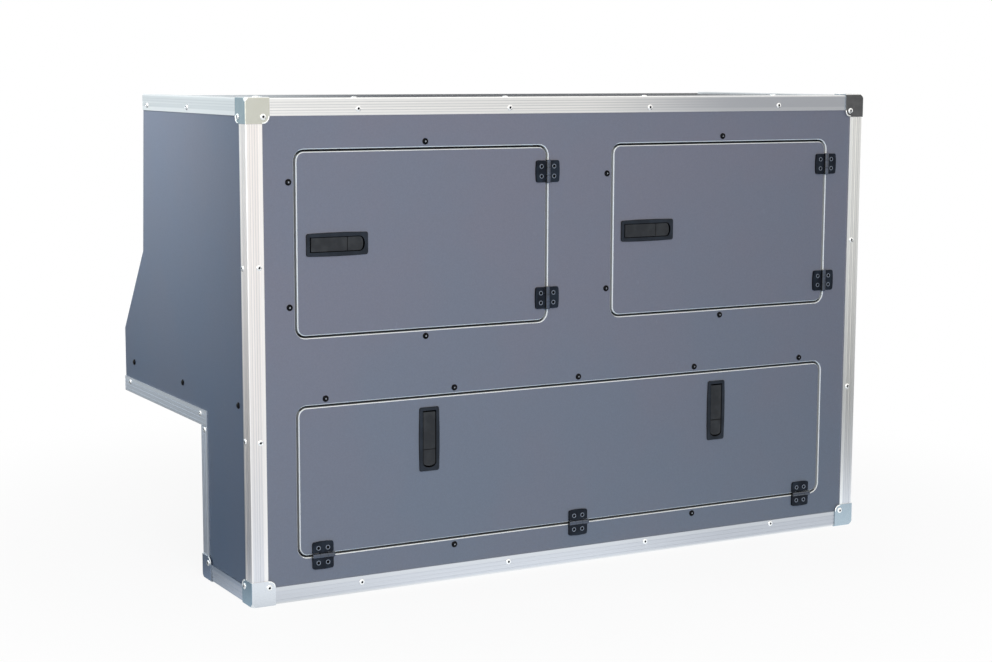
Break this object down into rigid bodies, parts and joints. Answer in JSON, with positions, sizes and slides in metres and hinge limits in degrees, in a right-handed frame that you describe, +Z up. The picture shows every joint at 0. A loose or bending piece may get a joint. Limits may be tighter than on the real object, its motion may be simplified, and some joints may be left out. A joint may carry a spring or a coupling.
{
  "type": "vehicle built-in cabinet",
  "caption": "Low, wide cabinet with a shallow foot, overhanging stepped back, rounded doors over a drop-down flap, rocker latches and riveted aluminium corner profiles.",
  "frame": {"origin": "middle of the outline's footprint, on the floor under the corner caps", "axes": "+X to the right along the front, +Y back into the cabinet, +Z up; the doors face -Y"},
  "size_m": [1.32, 0.6832, 0.88],
  "materials": {
    "laminate_board": "slate blue-grey, finely textured laminate on a pale plywood core",
    "bare_plywood": "bare sanded birch plywood",
    "back_sheet": "thin flexible plywood with a grey laminate face",
    "aluminium_profile": "natural anodised, finely grooved, satin",
    "plated_cap": "bright zinc-plated pressed steel",
    "black_plastic": "black glass-filled plastic with a slight sheen",
    "bolt_steel": "plated steel"
  },
  "bodies": {
    "carcass": {"front_panel": "laminate_board", "left_side_panel": "laminate_board", "right_side_panel": "laminate_board", "top_panel": "laminate_board", "base_panel": "laminate_board", "foot_back_panel": "laminate_board", "arch_panel": "laminate_board", "middle_shelf": "laminate_board", "back_sheet": "back_sheet", "left_door_stop_frame": "bare_plywood", "right_door_stop_frame": "bare_plywood", "flap_stop_frame": "bare_plywood", "front_left_profile": "aluminium_profile", "front_right_profile": "aluminium_profile", "front_top_profile": "aluminium_profile", "front_bottom_profile": "aluminium_profile", "left_top_profile": "aluminium_profile", "right_top_profile": "aluminium_profile", "left_foot_profile": "aluminium_profile", "right_foot_profile": "aluminium_profile", "foot_rear_profile": "aluminium_profile", "left_foot_rear_profile": "aluminium_profile", "right_foot_rear_profile": "aluminium_profile", "left_arch_profile": "aluminium_profile", "right_arch_profile": "aluminium_profile", "front_top_left_cap": "plated_cap", "front_top_right_cap": "plated_cap", "front_bottom_left_cap": "plated_cap", "front_bottom_right_cap": "plated_cap", "foot_rear_left_cap": "plated_cap", "foot_rear_right_cap": "plated_cap", "left_door_upper_frame_leaf": "black_plastic", "left_door_lower_frame_leaf": "black_plastic", "right_door_upper_frame_leaf": "black_plastic", "right_door_lower_frame_leaf": "black_plastic", "flap_left_frame_leaf": "black_plastic", "flap_middle_frame_leaf": "black_plastic", "flap_right_frame_leaf": "black_plastic"},
    "left_door": {"left_door_panel": "laminate_board", "left_door_upper_moving_leaf": "black_plastic", "left_door_lower_moving_leaf": "black_plastic", "left_door_latch_housing": "black_plastic"},
    "right_door": {"right_door_panel": "laminate_board", "right_door_upper_moving_leaf": "black_plastic", "right_door_lower_moving_leaf": "black_plastic", "right_door_latch_housing": "black_plastic"},
    "flap": {"flap_panel": "laminate_board", "flap_left_moving_leaf": "black_plastic", "flap_middle_moving_leaf": "black_plastic", "flap_right_moving_leaf": "black_plastic", "flap_left_latch_housing": "black_plastic", "flap_right_latch_housing": "black_plastic"},
    "left_door_paddle": {"left_door_latch_paddle": "black_plastic"},
    "left_door_bolt": {"left_door_latch_bolt": "bolt_steel"},
    "right_door_paddle": {"right_door_latch_paddle": "black_plastic"},
    "right_door_bolt": {"right_door_latch_bolt": "bolt_steel"},
    "flap_left_paddle": {"flap_left_latch_paddle": "black_plastic"},
    "flap_left_bolt": {"flap_left_latch_bolt": "bolt_steel"},
    "flap_right_paddle": {"flap_right_latch_paddle": "black_plastic"},
    "flap_right_bolt": {"flap_right_latch_bolt": "bolt_steel"}
  },
  "joints": [
    {"name": "left_door_hinge", "type": "hinge", "parent": "carcass", "child": "left_door", "pos_m": [-0.071, -0.3371, 0.62825], "axis": [0, 0, 1], "range_deg": [0, 175]},
    {"name": "right_door_hinge", "type": "hinge", "parent": "carcass", "child": "right_door", "pos_m": [0.569, -0.3371, 0.62825], "axis": [0, 0, 1], "range_deg": [0, 175]},
    {"name": "flap_hinge", "type": "hinge", "parent": "carcass", "child": "flap", "pos_m": [0, -0.3371, 0.0792], "axis": [1, 0, 0], "range_deg": [0, 100]},
    {"name": "left_door_latch_paddle_turn", "type": "hinge", "parent": "left_door", "child": "left_door_paddle", "pos_m": [-0.4727, -0.3273, 0.62675], "axis": [0, 0, 1], "range_deg": [0, 25], "stiffness_Nm_per_rad": 0.3, "springref_deg": -20.05},
    {"name": "left_door_latch_bolt_slide", "type": "slide", "parent": "left_door", "child": "left_door_bolt", "axis": [1, 0, 0], "range_m": [0, 0.006]},
    {"name": "right_door_latch_paddle_turn", "type": "hinge", "parent": "right_door", "child": "right_door_paddle", "pos_m": [0.1673, -0.3273, 0.62675], "axis": [0, 0, 1], "range_deg": [0, 25], "stiffness_Nm_per_rad": 0.3, "springref_deg": -20.05},
    {"name": "right_door_latch_bolt_slide", "type": "slide", "parent": "right_door", "child": "right_door_bolt", "axis": [1, 0, 0], "range_m": [0, 0.006]},
    {"name": "flap_left_latch_paddle_turn", "type": "hinge", "parent": "flap", "child": "flap_left_paddle", "pos_m": [-0.314, -0.3273, 0.2487], "axis": [1, 0, 0], "range_deg": [0, 25], "stiffness_Nm_per_rad": 0.3, "springref_deg": -20.05},
    {"name": "flap_left_latch_bolt_slide", "type": "slide", "parent": "flap", "child": "flap_left_bolt", "axis": [0, 0, -1], "range_m": [0, 0.006]},
    {"name": "flap_right_latch_paddle_turn", "type": "hinge", "parent": "flap", "child": "flap_right_paddle", "pos_m": [0.314, -0.3273, 0.2487], "axis": [1, 0, 0], "range_deg": [0, 25], "stiffness_Nm_per_rad": 0.3, "springref_deg": -20.05},
    {"name": "flap_right_latch_bolt_slide", "type": "slide", "parent": "flap", "child": "flap_right_bolt", "axis": [0, 0, -1], "range_m": [0, 0.006]}
  ],
  "couplings": [
    {"joint": "left_door_latch_bolt_slide", "follows": "left_door_latch_paddle_turn", "m_per_rad": 0.0137},
    {"joint": "right_door_latch_bolt_slide", "follows": "right_door_latch_paddle_turn", "m_per_rad": 0.0137},
    {"joint": "flap_left_latch_bolt_slide", "follows": "flap_left_latch_paddle_turn", "m_per_rad": 0.0137},
    {"joint": "flap_right_latch_bolt_slide", "follows": "flap_right_latch_paddle_turn", "m_per_rad": 0.0137}
  ]
}
